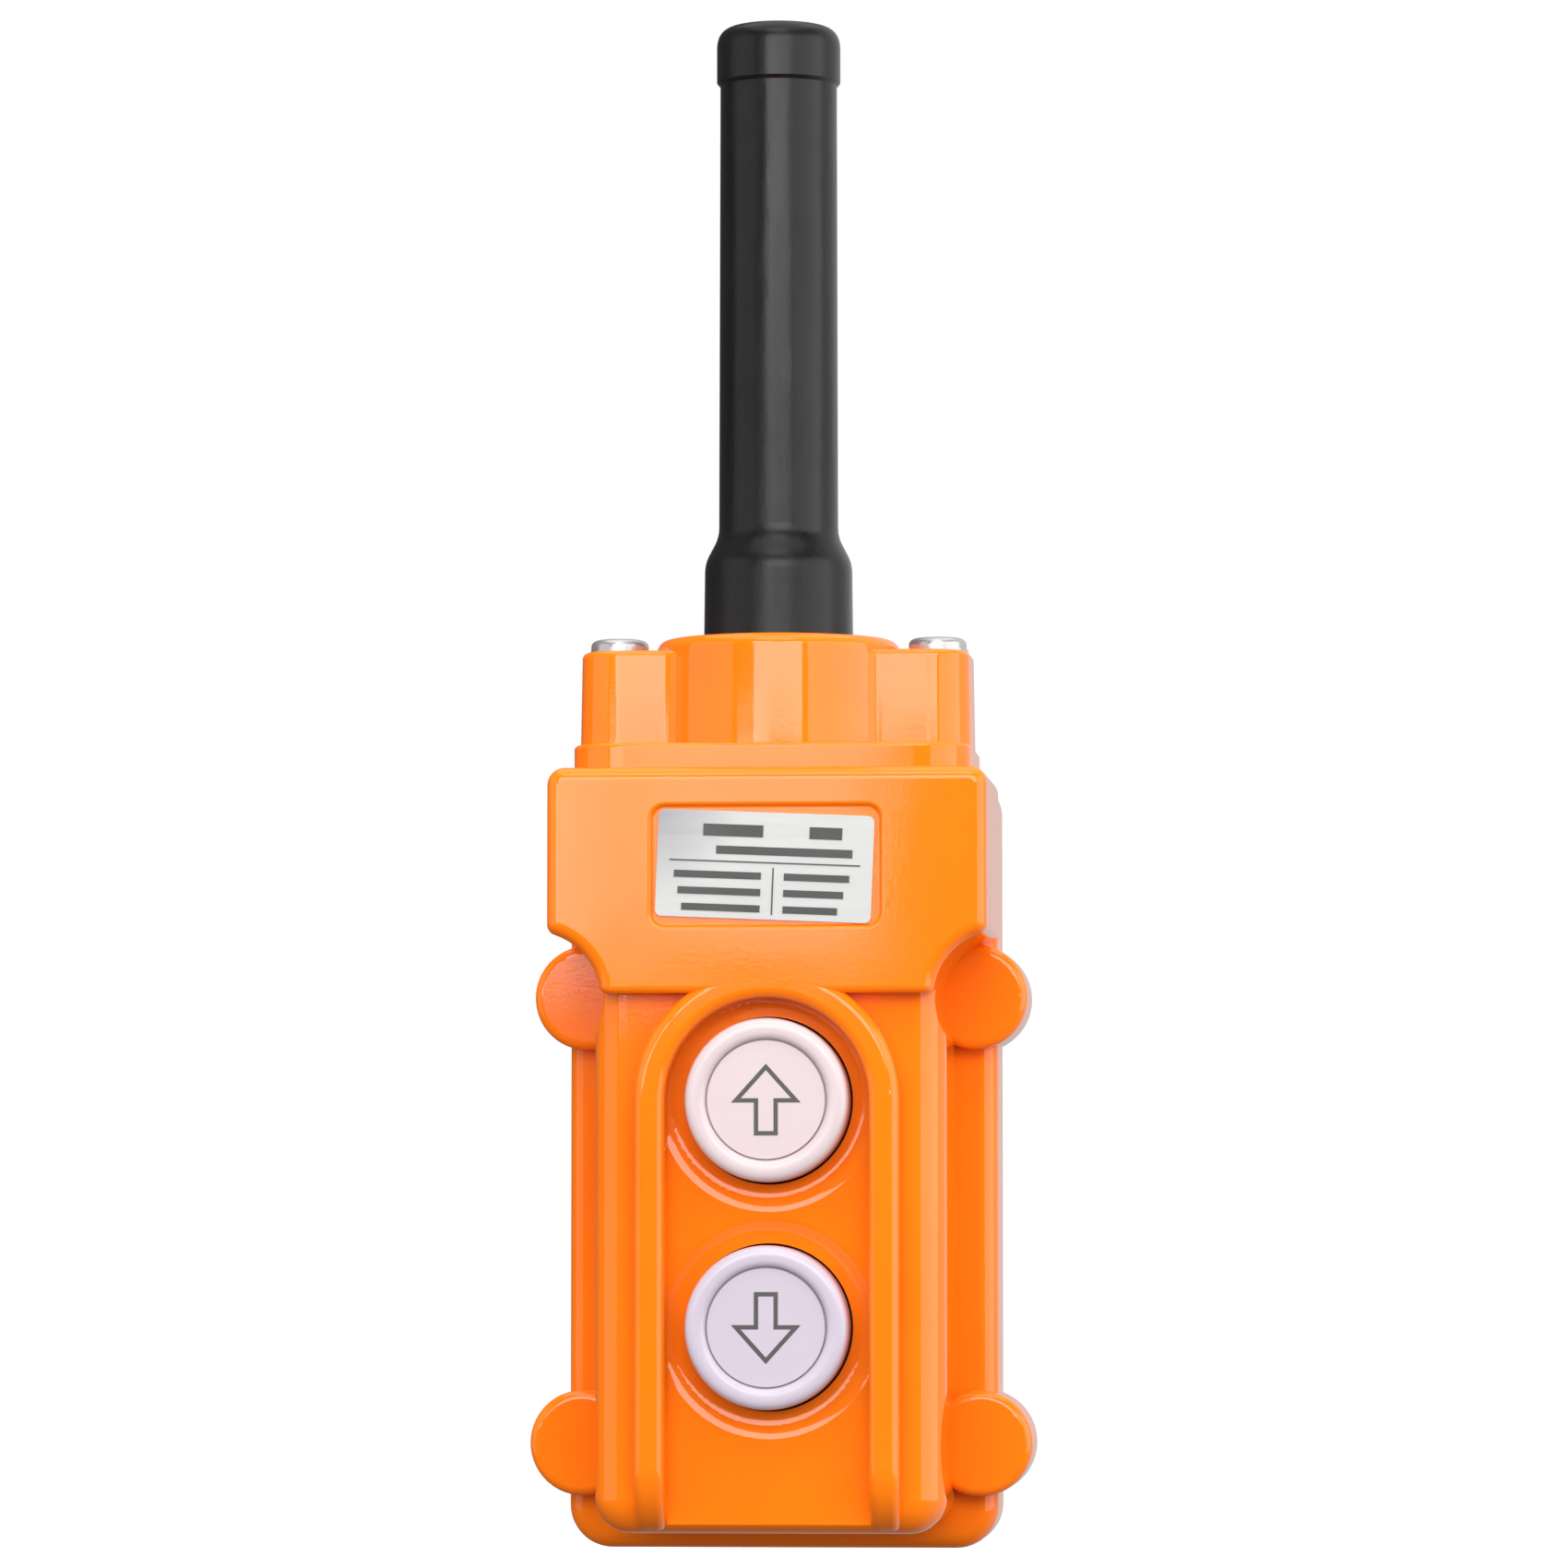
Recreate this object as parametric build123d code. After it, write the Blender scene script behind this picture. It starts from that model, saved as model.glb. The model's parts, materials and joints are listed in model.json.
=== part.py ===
from build123d import *
import os
from math import hypot, sqrt

# Two-button hanging pendant control station.
# X runs across, -Y is the button side, +Z is up along the hanging cable.
# The origin is the centre of the boot's mouth, where the cable comes in.
# All sizes are millimetres.

# ---------------------------------------------------------------- levels along the length (Z)
COLLAR_END = -11.0        # lower edge of the boot's collar
FLARE_TOP = -94.5         # boot starts to widen
FLARE_END = -103.0        # boot is at its full base radius
NECK_TOP = -115.8         # top of the head cap's round neck
BOSS_TOP = -118.3         # top of the cap's two screw bosses
BAND_TOP = -136.2         # ledge above the cap's plain lower band
HOUSING_TOP = -141.0      # joint between head cap and housing
SHOULDER = -182.5         # lower edge of the thick upper block
FRONT_END = -281.2        # lower end of the raised button panel
HOUSING_END = -285.0      # lower end of flange and rear cover

# ---------------------------------------------------------------- levels through the depth (Y)
GUARD_FACE = -29.0        # front of the upper block and of the guard ridge
SIDE_FACE = -23.5         # raised panel outside the guard ridge
FLOOR_FACE = -21.5        # channel floor inside the guard ridge
DISH_FACE = -20.7         # shallow round dish about each button
INNER_FACE = -18.2        # inside of the panel
EAR_FACE = 4.0            # front of the four round ears
FLANGE_FACE = 10.0        # front of the flange about the panel
PARTING = 16.0            # joint between front shell and rear cover
COVER_EAR_BACK = 24.0     # back of the rear cover's ears
BACK_FACE = 32.0          # flat back of the rear cover
GASKET_GROOVE = 1.2

# ---------------------------------------------------------------- housing outline
WALL = 3.0
FLANGE_HALF = 40.3
FLANGE_TOP_R = 6.0
FLANGE_END_R = 8.0
FLANGE_EDGE_R = 3.5
BLOCK_HALF = 40.4
BLOCK_CORNER_R = 3.2
BLOCK_EDGE_R = 2.4
PANEL_HALF = 32.4
PANEL_CORNER_R = 6.8
PANEL_EDGE_R = 6.4
EAR_R = 9.8
EAR_EDGE_R = 1.6
COVER_EDGE_R = 4.0
BACK_FIELD = (56.0, 118.0)  # shallow field on the flat back, framed by its rim
BACK_FIELD_DEPTH = 0.8
UPPER_EAR = (36.4, -182.2)
LOWER_EAR = (37.2, -265.3)
EARS = [(side * x, z) for x, z in (UPPER_EAR, LOWER_EAR) for side in (-1, 1)]
POCKET_R = 12.4           # round pocket that clears each upper ear
POCKET = (42.9, -183.5)
POCKET_CORNER_R = 2.0     # where the pocket runs out of the block's side
SCALLOP_R = 50.0          # shallow hollow beside each lower ear
SCALLOP_DEPTH = 1.0

# ---------------------------------------------------------------- buttons and their guard
UP_Z = -202.0
DOWN_Z = -243.5
BUTTONS = {"up": UP_Z, "down": DOWN_Z}
BUTTON_FACE = -29.2       # crest of the button's rounded rim
LEGEND_FACE = -28.3
LEGEND_BACK = -27.6
BUTTON_R = 15.0
BUTTON_HOLE_R = 15.4
GUARD_OUTER = 24.3
GUARD_INNER = 18.7
GUARD_END_R = 12.0        # the ridge curves back over this radius at its lower end
GUARD_EDGE_R = 1.8
SHOULDER_EDGE_R = 1.3
DISH_R = 20.4
DISH_SLOPE = 3.4

# ---------------------------------------------------------------- label
LABEL_CENTRE = (-0.2, -159.3)
LABEL_TILT = -2.3
LABEL_SIZE = (39.6, 19.6)
LABEL_THICK = 0.5
RECESS_SIZE = (42.0, 22.0)
RECESS_CENTRE = (0.0, -159.2)
RECESS_DEPTH = 0.8
RECESS_CORNER_R = 2.5
RECESS_RIM_R = 0.7
RECESS_FLOOR_R = 0.4

# ---------------------------------------------------------------- boot and cable
CABLE_R = 6.5
CABLE_GRIP = 20.0         # length of the boot's mouth that grips the cable
WIRE_HOLE_R = 10.5        # hole in the housing's top for the cable
BOOT_BORE_R = 8.5
COLLAR_R = 11.6
SHAFT_TOP_R = 10.95
SHAFT_END_R = 11.15
BASE_R = 14.0
BOOT_FLANGE_R = 18.4
BOOT_FLANGE_THICK = 4.0

# ---------------------------------------------------------------- head cap
CAP_HALF = (36.8, 23.5)
CAP_CORNER_R = 10.0
NECK_R = 23.0
BOSS_HALF = (36.5, 13.6)
BOSS_CORNER_R = 8.0
FLUTE_R = 4.0
CAP_DRAFT = 1.0
CAP_CAVITY_R = 18.8
CAP_ROOF = 3.2
CAP_SCREW_X = 29.8
GASKET_THICK = 1.0

CAP_SEAL_SIZE = (67.0, 41.0)

# ---------------------------------------------------------------- screws: shank radius, head radius, head height
M5 = (2.45, 5.4, 2.3)
M4 = (1.95, 3.6, 2.6)
M3 = (1.45, 2.75, 2.0)
M2 = (1.08, 2.1, 1.3)
THREAD_GAP = 0.03
WASHER_THICK = 0.6
THIN_WASHER = 0.6

# ---------------------------------------------------------------- brass inserts: outer radius, length
CAP_INSERT = (3.5, 10.0)
EAR_INSERT = (3.0, 8.0)
POST_INSERT = (2.3, 7.0)
CAP_BOSS_R = 6.2
EAR_BOSS_R = 7.0
EAR_SEAT_DEPTH = 3.4      # the cover screws' heads sit this deep in the rear ears

# ---------------------------------------------------------------- contact block
BLOCK_FRONT = -5.0
SHELF_FRONT = 11.0
SHELF_BACK = 13.0
BASE_FRONT = 21.55
BASE_BACK = 24.5
BODY_HALF = 20.0
BASE_HALF = 28.0
BODY_TOP = -184.0
BODY_END = -261.5
BODY_WALL = 2.5
POST = (24.5, (-187.5, -258.0))
POSTS = [(side * POST[0], z) for z in POST[1] for side in (-1, 1)]
POST_R = 3.4
STEM_R = 5.0              # plunger's front stem
REAR_STEM_R = 4.0
PIN_R = 2.0               # plunger's pin that carries the moving bridge
RUN_GAP = 0.08
PLUNGER_FLANGE_R = 8.0
BRIDGE_BACK = 15.7
TIP_R = 2.0
TIP_THICK = 0.8
TIP_X = 9.0
TERMINAL_X = 24.0
TERMINAL_POST_R = 3.0

# ---------------------------------------------------------------- button seals
SEAL_R = 18.6
SEAL_CUP_R = 15.9
SEAL_WALL = 0.8
SEAL_BEAD = 1.8
PLATE_THICK = 1.6
PLATE_HALF = 20.8
PLATE_STUB_R = 2.3
PLATE_SCREWS = [(side * 18.3, z) for z in (-184.2, (UP_Z + DOWN_Z) / 2, -261.3) for side in (-1, 1)]

# ---------------------------------------------------------------- cable clamp
CLAMP_Z = -153.0
CLAMP_LENGTH = 11.0
CLAMP_SCREW_X = 13.5
CLAMP_HALF = 18.0
CLAMP_SPLIT = -1.0        # depth of the face where strap and base meet
CLAMP_FOOT = -8.0         # top of the shell's two posts
CLAMP_POST_R = 4.2
STRAP_THICK = 1.6

NUDGE = 0.02              # keeps neighbouring faces just apart
RINGS = 0.05


def front_prism(sketch, y_front, y_back):
    """Extrude a front-view sketch, drawn as (x, z), between two depths."""
    plane = Plane(origin=(0, y_back, 0), x_dir=(1, 0, 0), z_dir=(0, -1, 0))
    return extrude(plane * sketch, amount=y_back - y_front, dir=(0, -1, 0))


def rod(x, z, radius, y_front, y_back):
    """Round bar along Y."""
    return front_prism(Pos(x, z) * Circle(radius), y_front, y_back)


def plan_prism(sketch, z_low, z_high, taper=0.0):
    """Extrude a plan-view sketch, drawn as (x, y), between two heights."""
    return extrude(Plane.XY.offset(z_low) * sketch, amount=z_high - z_low, taper=taper)


def column(x, y, radius, z_low, z_high):
    """Round bar along Z."""
    return plan_prism(Pos(x, y) * Circle(radius), z_low, z_high)


def slab(x_low, x_high, y_low, y_high, z_low, z_high):
    """Box from its limits."""
    size = (x_high - x_low, y_high - y_low, z_high - z_low)
    middle = ((x_low + x_high) / 2, (y_low + y_high) / 2, (z_low + z_high) / 2)
    return Pos(*middle) * Box(*size)


def turned(profile_lines, z=None):
    """Revolve a half profile: about Z by default, or about a Y line at height z."""
    if z is None:
        return revolve(Plane.XZ * make_face(profile_lines), Axis.Z)
    return revolve(Plane.XY.offset(z) * make_face(profile_lines), Axis((0, 0, z), (0, 1, 0)))


def fillet_2d(sketch, corners, radius):
    """Round the sketch corners nearest to the given points."""
    picked = [min(sketch.vertices(), key=lambda v: hypot(v.X - x, v.Y - z)) for x, z in corners]
    return fillet(picked, radius)


def pan_screw(size, length, slots=True):
    """Cross-slot pan screw along Z, seat at z = 0, head up, shank down."""
    shank_r, head_r, head_h = size
    rim = head_h * 0.35
    crown = head_r * 0.45
    outline = Polyline((0, 0), (head_r, 0), (head_r, rim))
    outline += Spline((head_r, rim), (crown, head_h), tangents=((0, 1), (-1, 0)))
    outline += Polyline((crown, head_h), (0, head_h), (0, 0))
    screw = turned(outline) + column(0, 0, shank_r, -length, 0)
    if slots:
        slot_width = head_r * 0.26
        slot_length = head_r * 1.25
        slot_depth = head_h * 0.5
        for turn in (0, 90):
            slot = Box(slot_length, slot_width, slot_depth, align=(Align.CENTER, Align.CENTER, Align.MAX))
            screw -= Pos(0, 0, head_h) * Rot(0, 0, turn) * slot
    return screw


def facing_back(x, z, y):
    """Place a Z-built screw with its seat at depth y and its head towards the back."""
    return Pos(x, y, z) * Rot(-90, 0, 0)


def ring_y(x, z, outer, inner, y_front, y_back):
    return rod(x, z, outer, y_front, y_back) - rod(x, z, inner, y_front - 1, y_back + 1)


def ring_z(x, y, outer, inner, z_low, z_high):
    return column(x, y, outer, z_low, z_high) - column(x, y, inner, z_low - 1, z_high + 1)


# ================================================================ housing outline
def housing_outline(inset=0.0):
    half = FLANGE_HALF - inset
    top = HOUSING_TOP - inset
    end = HOUSING_END + inset
    sketch = Pos(0, (top + end) / 2) * Rectangle(2 * half, top - end)
    sketch = fillet_2d(sketch, [(-half, top), (half, top)], FLANGE_TOP_R - inset)
    return fillet_2d(sketch, [(-half, end), (half, end)], FLANGE_END_R - inset)


def arch(half_width):
    """Round-topped door shape about the up button, open past the panel's lower end."""
    below = FRONT_END - 5
    height = UP_Z - below
    return Pos(0, UP_Z) * Circle(half_width) + Pos(0, UP_Z - height / 2) * Rectangle(2 * half_width, height)


# ================================================================ front shell
def pockets(y_front, y_back, extra=0.0):
    """The two round pockets above the upper ears."""
    circles = [Pos(side * POCKET[0], POCKET[1]) * Circle(POCKET_R + extra) for side in (-1, 1)]
    return front_prism(circles[0] + circles[1], y_front, y_back)


def upper_block():
    """Thick block behind the label, with one soft edge round its top, sides and pockets."""
    height = HOUSING_TOP - SHOULDER
    outline = Pos(0, SHOULDER + height / 2) * Rectangle(2 * BLOCK_HALF, height)
    for side in (-1, 1):
        outline -= Pos(side * POCKET[0], POCKET[1]) * Circle(POCKET_R)
    pocket_top = POCKET[1] + sqrt(POCKET_R ** 2 - (POCKET[0] - BLOCK_HALF) ** 2)
    outline = fillet_2d(outline, [(-BLOCK_HALF, HOUSING_TOP), (BLOCK_HALF, HOUSING_TOP)], BLOCK_CORNER_R)
    outline = fillet_2d(outline, [(-BLOCK_HALF, pocket_top), (BLOCK_HALF, pocket_top)], POCKET_CORNER_R)
    block = front_prism(outline, GUARD_FACE, FLANGE_FACE + 2)
    front_edges = block.faces().sort_by(Axis.Y)[0].edges()
    shoulder = front_edges.sort_by(Axis.Z)[0]
    rim = [edge for edge in front_edges if edge.center().Z > shoulder.center().Z + 0.01]
    block = fillet(rim, BLOCK_EDGE_R)
    shoulder = block.faces().sort_by(Axis.Y)[0].edges().sort_by(Axis.Z)[0]
    return fillet(shoulder, SHOULDER_EDGE_R)


def panel():
    body = slab(-PANEL_HALF, PANEL_HALF, SIDE_FACE, FLANGE_FACE + 2, FRONT_END, HOUSING_TOP - 10)
    corners = body.edges().filter_by(Axis.Y).group_by(Axis.Z)[0]
    body = fillet(corners, PANEL_CORNER_R)
    top = HOUSING_TOP - 10
    rim = [e for e in body.edges() if abs(e.center().Y - SIDE_FACE) < 0.01 and e.center().Z < top - 1]
    return fillet(rim, PANEL_EDGE_R)


def guard():
    """Arched ridge about both buttons; its lower end curves back into the panel."""
    ridge = front_prism(arch(GUARD_OUTER) - arch(GUARD_INNER), GUARD_FACE, FLOOR_FACE + 1)
    side = Rectangle(40, 140, align=(Align.MIN, Align.MIN))
    side = Pos(GUARD_FACE, FRONT_END) * side
    side = fillet_2d(side, [(GUARD_FACE, FRONT_END)], GUARD_END_R)
    ridge &= extrude(Plane.YZ * side, amount=GUARD_OUTER + 1, both=True)
    along = [e for e in ridge.edges() if e.center().Y < FLOOR_FACE and e not in ridge.edges().filter_by(Axis.X)
             and e not in ridge.edges().filter_by(Axis.Y)]
    return fillet(along, GUARD_EDGE_R)


def dish(z):
    """Shallow hollow about a button, with a soft slope, kept inside the guard."""
    slope_end = DISH_R - DISH_SLOPE
    outline = Polyline((0, FLOOR_FACE - 1), (DISH_R, FLOOR_FACE - 1), (DISH_R, FLOOR_FACE))
    outline += Spline((DISH_R, FLOOR_FACE), (slope_end, DISH_FACE), tangents=((-1, 0.1), (-1, 0)))
    outline += Polyline((slope_end, DISH_FACE), (0, DISH_FACE), (0, FLOOR_FACE - 1))
    return turned(outline, z) & front_prism(arch(GUARD_INNER), FLOOR_FACE - 2, FLOOR_FACE + 2)


def cap_boss(side):
    return column(side * CAP_SCREW_X, 0, CAP_BOSS_R, HOUSING_TOP - 18, HOUSING_TOP - 1)


def label_recess(body):
    """Sink the label's recess into the block and soften its rim and floor edges."""
    recess = Pos(*RECESS_CENTRE) * RectangleRounded(*RECESS_SIZE, RECESS_CORNER_R)
    body -= front_prism(recess, GUARD_FACE - 1, GUARD_FACE + RECESS_DEPTH)
    for level, radius in ((GUARD_FACE, RECESS_RIM_R), (GUARD_FACE + RECESS_DEPTH, RECESS_FLOOR_R)):
        loop = [e for e in body.edges() if abs(e.center().Y - level) < 0.01
                and abs(e.center().X - RECESS_CENTRE[0]) < RECESS_SIZE[0] / 2 + 1
                and abs(e.center().Z - RECESS_CENTRE[1]) < RECESS_SIZE[1] / 2 + 1]
        body = fillet(loop, radius)
    return body


def front_shell():
    lower = panel() - pockets(GUARD_FACE - 1, FLANGE_FACE + 3)
    for side in (-1, 1):
        scallop_x = side * (PANEL_HALF - SCALLOP_DEPTH + SCALLOP_R)
        lower -= rod(scallop_x, LOWER_EAR[1], SCALLOP_R, GUARD_FACE - 1, FLANGE_FACE + 3)
    body = upper_block() + lower
    body += guard()
    body -= front_prism(arch(GUARD_INNER), GUARD_FACE - 1, FLOOR_FACE)
    for z in BUTTONS.values():
        body -= dish(z)

    flange = front_prism(housing_outline(), FLANGE_FACE, PARTING)
    flange = fillet(flange.faces().sort_by(Axis.Y)[0].edges(), FLANGE_EDGE_R)
    body += flange
    for x, z in EARS:
        ear = rod(x, z, EAR_R, EAR_FACE, PARTING)
        body += fillet(ear.faces().sort_by(Axis.Y)[0].edges(), EAR_EDGE_R)

    body = label_recess(body)

    block_half = BLOCK_HALF - WALL
    panel_half = PANEL_HALF - WALL
    hollow = slab(-block_half, block_half, GUARD_FACE + WALL, PARTING + 1, SHOULDER + WALL, HOUSING_TOP - WALL)
    hollow += slab(-panel_half, panel_half, INNER_FACE, PARTING + 1, FRONT_END + WALL, SHOULDER + 10)
    hollow += front_prism(housing_outline(WALL), PARTING - 3, PARTING + 1)
    hollow -= pockets(GUARD_FACE, PARTING + 1, extra=WALL)
    for side in (-1, 1):
        hollow -= rod(side * LOWER_EAR[0], LOWER_EAR[1], EAR_BOSS_R, EAR_FACE - 2, PARTING + 1)
        hollow -= cap_boss(side)
    body -= hollow

    for x, z in POSTS:
        body += rod(x, z, POST_R, INNER_FACE - 1, BASE_FRONT - NUDGE)
    for x, z in PLATE_SCREWS:
        body += rod(x, z, PLATE_STUB_R, INNER_FACE - 1, INNER_FACE + SEAL_BEAD)
    for side in (-1, 1):
        body += rod(side * CLAMP_SCREW_X, CLAMP_Z, CLAMP_POST_R, GUARD_FACE + 2, CLAMP_FOOT)

    for z in BUTTONS.values():
        body -= rod(0, z, BUTTON_HOLE_R, GUARD_FACE - 1, INNER_FACE + 1)
    body -= column(0, 0, WIRE_HOLE_R, HOUSING_TOP - 4, HOUSING_TOP + 1)
    for side in (-1, 1):
        # insert pockets, each with room below for the screw's tip
        body -= column(side * CAP_SCREW_X, 0, CAP_INSERT[0], HOUSING_TOP - CAP_INSERT[1], HOUSING_TOP + 1)
        body -= column(side * CAP_SCREW_X, 0, 2.7, HOUSING_TOP - 16, HOUSING_TOP)
        body -= rod(side * CLAMP_SCREW_X, CLAMP_Z, M3[0] + 0.05, -20.0, CLAMP_FOOT + 1)
    for x, z in EARS:
        body -= rod(x, z, EAR_INSERT[0], PARTING - EAR_INSERT[1], PARTING + 1)
        body -= rod(x, z, 2.1, PARTING - 9, PARTING)
    for x, z in POSTS:
        body -= rod(x, z, POST_INSERT[0], BASE_FRONT - POST_INSERT[1], BASE_FRONT + 1)
        body -= rod(x, z, 1.6, BASE_FRONT - 10, BASE_FRONT)
    for x, z in PLATE_SCREWS:
        body -= rod(x, z, M2[0] + 0.02, INNER_FACE - 1.6, INNER_FACE + SEAL_BEAD + 1)
    return body


# ================================================================ rear cover
def rear_cover():
    body = front_prism(housing_outline(), PARTING, BACK_FACE)
    body = fillet(body.faces().sort_by(Axis.Y)[-1].edges(), COVER_EDGE_R)
    for x, z in EARS:
        ear = rod(x, z, EAR_R, PARTING, COVER_EAR_BACK)
        body += fillet(ear.faces().sort_by(Axis.Y)[-1].edges(), EAR_EDGE_R)
    hollow = front_prism(housing_outline(WALL), PARTING - 1, BACK_FACE - WALL)
    for x, z in EARS:
        hollow -= rod(x, z, EAR_BOSS_R + 1, PARTING - 1, BACK_FACE)
    body -= hollow
    body -= front_prism(gasket_band(0.0), PARTING - 1, PARTING + GASKET_GROOVE)
    field = Pos(0, (HOUSING_TOP + HOUSING_END) / 2) * RectangleRounded(*BACK_FIELD, 8)
    body -= front_prism(field, BACK_FACE - BACK_FIELD_DEPTH, BACK_FACE + 1)
    for x, z in EARS:
        body -= rod(x, z, 2.2, PARTING - 1, BACK_FACE + 1)
        body -= rod(x, z, 4.6, COVER_EAR_BACK - EAR_SEAT_DEPTH, BACK_FACE + 1)
    return body


def gasket_band(slack):
    """Closed band just inside the outline, passing inside the four ear screws."""
    outer = housing_outline(1.8 + slack)
    inner = housing_outline(WALL)
    for x, z in EARS:
        outer -= Pos(x, z) * Circle(5.2 + slack)
        inner -= Pos(x, z) * Circle(6.4)
    return outer - inner


def shell_gasket():
    return front_prism(gasket_band(0.05), PARTING + NUDGE, PARTING + GASKET_GROOVE - NUDGE)


# ================================================================ head cap and boot
def cap_plan():
    core_r = NECK_R - 0.15
    plan = Circle(core_r) + RectangleRounded(2 * BOSS_HALF[0], 2 * BOSS_HALF[1], BOSS_CORNER_R)
    meets = [v for v in plan.vertices() if abs(hypot(v.X, v.Y) - core_r) < 0.01 and abs(v.Y) > BOSS_HALF[1] - 0.01]
    return fillet(meets, FLUTE_R)


def head_cap():
    band = plan_prism(RectangleRounded(2 * CAP_HALF[0], 2 * CAP_HALF[1], CAP_CORNER_R), HOUSING_TOP, BAND_TOP)
    band = fillet(band.faces().sort_by(Axis.Z)[-1].edges(), 0.8)
    bosses = plan_prism(cap_plan(), BAND_TOP - 1, BOSS_TOP, CAP_DRAFT)
    bosses = fillet(bosses.faces().sort_by(Axis.Z)[-1].edges(), 1.2)
    neck = plan_prism(Circle(NECK_R), BAND_TOP - 1, NECK_TOP, CAP_DRAFT)
    neck = fillet(neck.faces().sort_by(Axis.Z)[-1].edges(), 2.2)
    body = band + bosses + neck
    body -= column(0, 0, CAP_CAVITY_R, HOUSING_TOP - 1, NECK_TOP - CAP_ROOF)
    body -= column(0, 0, BASE_R + 0.2, HOUSING_TOP - 1, NECK_TOP + 1)
    body -= plan_prism(RectangleRounded(*CAP_SEAL_SIZE, 8), HOUSING_TOP - 1, HOUSING_TOP + GASKET_THICK)
    for side in (-1, 1):
        body -= column(side * CAP_SCREW_X, 0, 2.8, HOUSING_TOP - 1, NECK_TOP)
    return body


def cap_gasket():
    width, depth = (size - 0.4 for size in CAP_SEAL_SIZE)
    body = plan_prism(RectangleRounded(width, depth, 7.8), HOUSING_TOP + NUDGE, HOUSING_TOP + GASKET_THICK - NUDGE)
    body -= column(0, 0, CAP_CAVITY_R + 0.3, HOUSING_TOP - 1, HOUSING_TOP + 2)
    for side in (-1, 1):
        body -= column(side * CAP_SCREW_X, 0, 3.2, HOUSING_TOP - 1, HOUSING_TOP + 2)
    return body


def cable_boot():
    flange_top = NECK_TOP - CAP_ROOF - NUDGE
    flange_end = flange_top - BOOT_FLANGE_THICK
    crown = 4.2
    outline = Line((CABLE_R, 0), (COLLAR_R - crown, 0))
    outline += Spline((COLLAR_R - crown, 0), (COLLAR_R, -crown), tangents=((1, 0), (0, -1)))
    outline += Polyline((COLLAR_R, -crown), (COLLAR_R, COLLAR_END + 0.4), (COLLAR_R - 0.3, COLLAR_END),
                        (SHAFT_TOP_R, COLLAR_END - 0.3), (SHAFT_END_R, FLARE_TOP))
    outline += Spline((SHAFT_END_R, FLARE_TOP), (BASE_R - 0.2, FLARE_END), tangents=((0, -1), (0, -1)))
    outline += Polyline((BASE_R - 0.2, FLARE_END), (BASE_R, flange_top), (BOOT_FLANGE_R, flange_top),
                        (BOOT_FLANGE_R, flange_end), (BOOT_BORE_R, flange_end),
                        (BOOT_BORE_R, -CABLE_GRIP - 8), (CABLE_R, -CABLE_GRIP), (CABLE_R, 0))
    return turned(outline)


def boot_retaining_ring():
    top = NECK_TOP - CAP_ROOF - BOOT_FLANGE_THICK - 2 * NUDGE
    body = ring_z(0, 0, BOOT_FLANGE_R, 9.5, HOUSING_TOP + NUDGE, top)
    # hollowed from below to an even wall
    body -= ring_z(0, 0, BOOT_FLANGE_R - 2.4, 11.9, HOUSING_TOP - 1, top - 2.5)
    return body


# ================================================================ buttons
def button(z):
    face = BUTTON_FACE
    skirt_end = -19.6
    outline = Polyline((0, LEGEND_BACK), (10.9, LEGEND_BACK), (11.2, face + 0.8))
    outline += Spline((11.2, face + 0.8), (12.7, face), (BUTTON_R, face + 2.2), tangents=((0.4, -1), (0, 1)))
    outline += Polyline((BUTTON_R, face + 2.2), (BUTTON_R, skirt_end), (BUTTON_R - 2, skirt_end),
                        (BUTTON_R - 2, face + 4.2), (7.4, face + 4.2), (7.4, -16), (STEM_R, -16),
                        (STEM_R, -24), (0, -24), (0, LEGEND_BACK))
    return turned(outline, z)


def arrow_outline(z, way):
    """Hollow arrow drawn as a line; way is +1 for up and -1 for down."""
    half_width = 6.4
    half_stem = 2.2
    tip = 6.6
    head_base = -0.5
    tail = -6.5
    line = 0.8
    points = [(0, tip), (half_width, head_base), (half_stem, head_base), (half_stem, tail),
              (-half_stem, tail), (-half_stem, head_base), (-half_width, head_base)]
    outline = Polygon(*points, align=None)
    inside = offset(outline, -line, kind=Kind.INTERSECTION)
    turn = 0 if way > 0 else 180
    return Pos(0, z) * Rot(0, 0, turn) * (outline - inside)


def arrow_inlay(z, way):
    return front_prism(arrow_outline(z, way), LEGEND_FACE - 0.04, LEGEND_FACE + 0.35)


def legend_disc(z, way):
    disc = rod(0, z, 10.8, LEGEND_FACE, LEGEND_BACK - NUDGE / 2)
    return disc - front_prism(arrow_outline(z, way), LEGEND_FACE - 1, LEGEND_FACE + 0.35)


def plunger(z):
    flange_front = BLOCK_FRONT + BODY_WALL + RINGS
    body = rod(0, z, STEM_R - NUDGE, -23.9, flange_front)
    body += rod(0, z, PLUNGER_FLANGE_R, flange_front, flange_front + 1.5)
    body += rod(0, z, REAR_STEM_R, flange_front, BRIDGE_BACK - 1.2)
    body += rod(0, z, PIN_R - NUDGE, flange_front, BRIDGE_BACK + 2.2)
    return body


def button_seal(z):
    """Rubber cup: outer bead under the clamp plate, inner sleeve round the plunger."""
    top = INNER_FACE + NUDGE
    floor = INNER_FACE + 7.0
    outline = Polyline((SEAL_CUP_R - SEAL_WALL, top), (SEAL_R, top), (SEAL_R, top + SEAL_BEAD - 0.3),
                       (SEAL_CUP_R, top + SEAL_BEAD - 0.3), (SEAL_CUP_R, floor), (6.4, floor), (6.4, floor + 1.4),
                       (STEM_R + 0.05, floor + 1.4), (STEM_R + 0.05, floor - 2.0), (6.2, floor - 2.0),
                       (6.2, floor - SEAL_WALL), (SEAL_CUP_R - SEAL_WALL, floor - SEAL_WALL), close=True)
    return turned(outline, z)


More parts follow.
